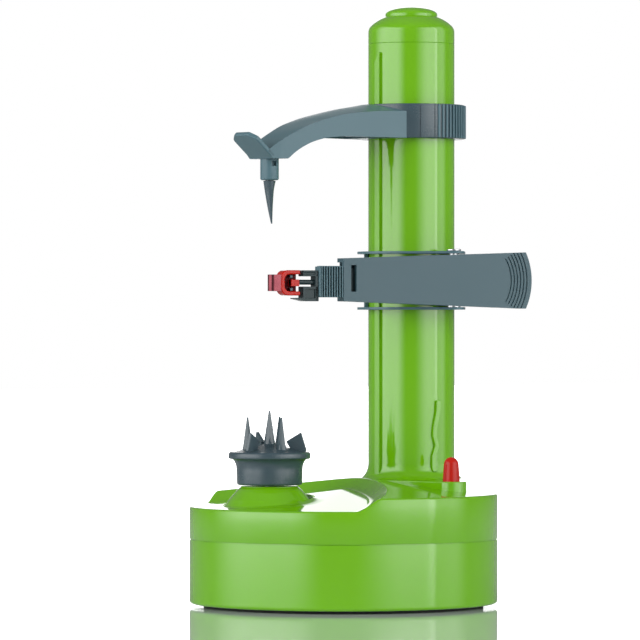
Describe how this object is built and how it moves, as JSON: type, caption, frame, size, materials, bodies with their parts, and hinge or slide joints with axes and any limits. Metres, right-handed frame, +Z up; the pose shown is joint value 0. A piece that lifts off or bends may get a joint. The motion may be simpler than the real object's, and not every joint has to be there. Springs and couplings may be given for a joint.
{
  "type": "electric potato peeler",
  "caption": "Battery powered potato peeler: round base with a spiked turntable, and a column with a screw driven blade carriage and an adjustable spiked arm.",
  "frame": {"origin": "middle of the base, on the surface it stands on", "axes": "+Z up; +X from the food holder's axis towards the column's axis; -Y is the side that the peeling lever is on"},
  "size_m": [0.1564, 0.1476, 0.2888],
  "materials": {
    "lime_plastic": "glossy moulded lime green",
    "grey_plastic": "satin moulded blue grey",
    "dark_plastic": "satin moulded dark grey",
    "red_plastic": "glossy moulded red",
    "steel": "bright steel",
    "white_plastic": "natural acetal",
    "bronze": "sintered bronze",
    "rubber": "matt black rubber",
    "motor_can": "zinc plated can",
    "cell_jacket": "plain printed jacket",
    "black_plastic": "black switch housing"
  },
  "bodies": {
    "base": {"lower_housing": "lime_plastic", "top_cover": "lime_plastic", "battery_cover": "lime_plastic", "foot_ring": "rubber", "cover_screws": "steel", "gear_plate": "white_plastic", "plate_screws": "steel", "gear_axles": "steel", "motor": "motor_can", "holder_bearing": "bronze", "holder_seal": "rubber", "lower_bearing": "bronze", "upper_bearing": "bronze", "batteries": "cell_jacket", "battery_contacts": "steel", "start_switch": "black_plastic", "button_spring": "steel", "column": "lime_plastic", "column_cap": "lime_plastic", "cap_button": "lime_plastic"},
    "motor_rotor": {"motor_shaft": "steel", "motor_pinion": "white_plastic"},
    "reduction": {"compound_gear": "white_plastic"},
    "idler": {"idler_gear": "white_plastic"},
    "turntable": {"food_holder": "dark_plastic", "holder_shaft": "steel", "holder_gear": "white_plastic"},
    "screw": {"lead_screw": "steel", "screw_gear": "white_plastic"},
    "button": {"start_button": "red_plastic"},
    "upper_arm": {"holder_arm": "grey_plastic", "spike_bush": "grey_plastic"},
    "spike": {"top_spike": "dark_plastic"},
    "blade_carriage": {"carriage": "grey_plastic", "half_nut": "white_plastic", "pivot_pin": "steel", "lever_spring": "steel"},
    "peeling_lever": {"lever": "grey_plastic", "blade_neck": "dark_plastic", "blade_fork": "dark_plastic", "blade_axle": "steel"},
    "swivel_head": {"blade_head": "red_plastic", "blade": "steel", "blade_pins": "grey_plastic"}
  },
  "joints": [
    {"name": "food_holder_spin", "type": "hinge", "parent": "base", "child": "turntable", "pos_m": [-0.0459, 0, 0.035], "axis": [0, 0, 1], "continuous": true},
    {"name": "idler_spin", "type": "hinge", "parent": "base", "child": "idler", "pos_m": [0.0006, 0, 0.035], "axis": [0, 0, 1], "continuous": true},
    {"name": "reduction_spin", "type": "hinge", "parent": "base", "child": "reduction", "pos_m": [0.0156, 0.02598, 0.035], "axis": [0, 0, 1], "continuous": true},
    {"name": "motor_spin", "type": "hinge", "parent": "base", "child": "motor_rotor", "pos_m": [0.01074, 0.05355, 0.035], "axis": [0, 0, 1], "continuous": true},
    {"name": "screw_spin", "type": "hinge", "parent": "base", "child": "screw", "pos_m": [0.0431, 0, 0.035], "axis": [0, 0, 1], "continuous": true},
    {"name": "carriage_slide", "type": "slide", "parent": "base", "child": "blade_carriage", "axis": [0, 0, 1], "range_m": [-0.0435, 0.022]},
    {"name": "lever_swing", "type": "hinge", "parent": "blade_carriage", "child": "peeling_lever", "pos_m": [0.0431, -0.031, 0.156], "axis": [0, 0, 1], "range_deg": [0, 25], "stiffness_Nm_per_rad": 0.1, "springref_deg": -20.05},
    {"name": "blade_swivel", "type": "hinge", "parent": "peeling_lever", "child": "swivel_head", "pos_m": [-0.03958, -0.01547, 0.15485], "axis": [-0.9781, 0.2079, 0], "range_deg": [-25, 25]},
    {"name": "arm_slide", "type": "slide", "parent": "base", "child": "upper_arm", "axis": [0, 0, 1], "range_m": [-0.026, 0.024]},
    {"name": "top_spike_spin", "type": "hinge", "parent": "upper_arm", "child": "spike", "pos_m": [-0.0459, 0, 0.2], "axis": [0, 0, 1], "continuous": true},
    {"name": "button_press", "type": "slide", "parent": "base", "child": "button", "axis": [0, 0, -1], "range_m": [0, 0.003], "stiffness_N_per_m": 150, "springref_m": -0.002, "deforming": ["button_spring"]}
  ],
  "couplings": [
    {"joint": "idler_spin", "follows": "food_holder_spin", "ratio": -1.0667},
    {"joint": "screw_spin", "follows": "food_holder_spin", "ratio": 1.2},
    {"joint": "reduction_spin", "follows": "food_holder_spin", "ratio": 3.2},
    {"joint": "motor_spin", "follows": "food_holder_spin", "ratio": -11.733}
  ]
}
